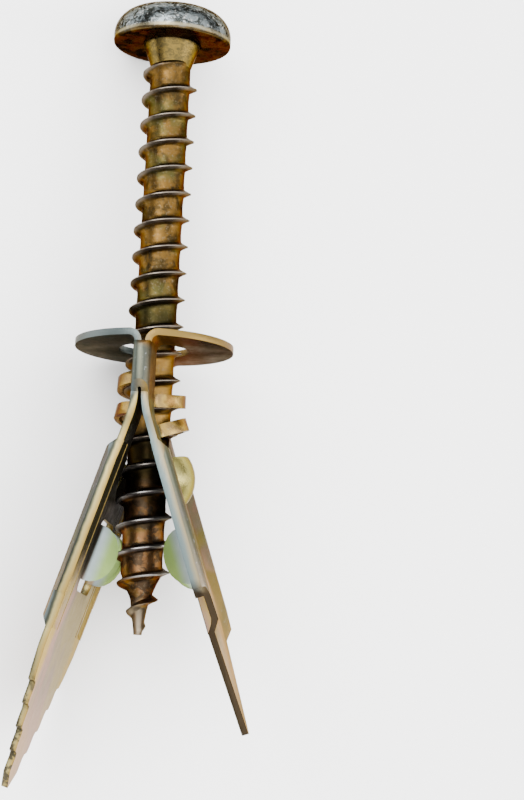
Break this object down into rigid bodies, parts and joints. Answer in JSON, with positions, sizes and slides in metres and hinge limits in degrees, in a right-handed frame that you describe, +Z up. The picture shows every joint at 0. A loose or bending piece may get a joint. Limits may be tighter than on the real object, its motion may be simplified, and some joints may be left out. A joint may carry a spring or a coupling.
{
  "type": "plasterboard plug",
  "caption": "Folded sheet-steel plasterboard plug with a round flange and arrow-tipped leaves, spread open by a part-driven pan-head screw.",
  "frame": {"origin": "centre of the bounding box on the surface that the plug lies on", "axes": "+Y along the screw towards its head, as it lies, +X across the two spread leaves towards the shorter one, +Z up"},
  "size_m": [0.0168, 0.0598, 0.0156],
  "materials": {
    "yellow_zinc_sheet": "iridescent yellow zinc plating",
    "bronze_zinc_screw": "yellow zinc plating"
  },
  "bodies": {
    "plug": {"plug_body": "yellow_zinc_sheet"},
    "screw": {"screw": "bronze_zinc_screw"}
  },
  "joints": [
    {"name": "screw_drive", "type": "slide", "parent": "plug", "child": "screw", "axis": [0, 0.997, -0.0773], "range_m": [-0.0233, 0.0165]}
  ]
}
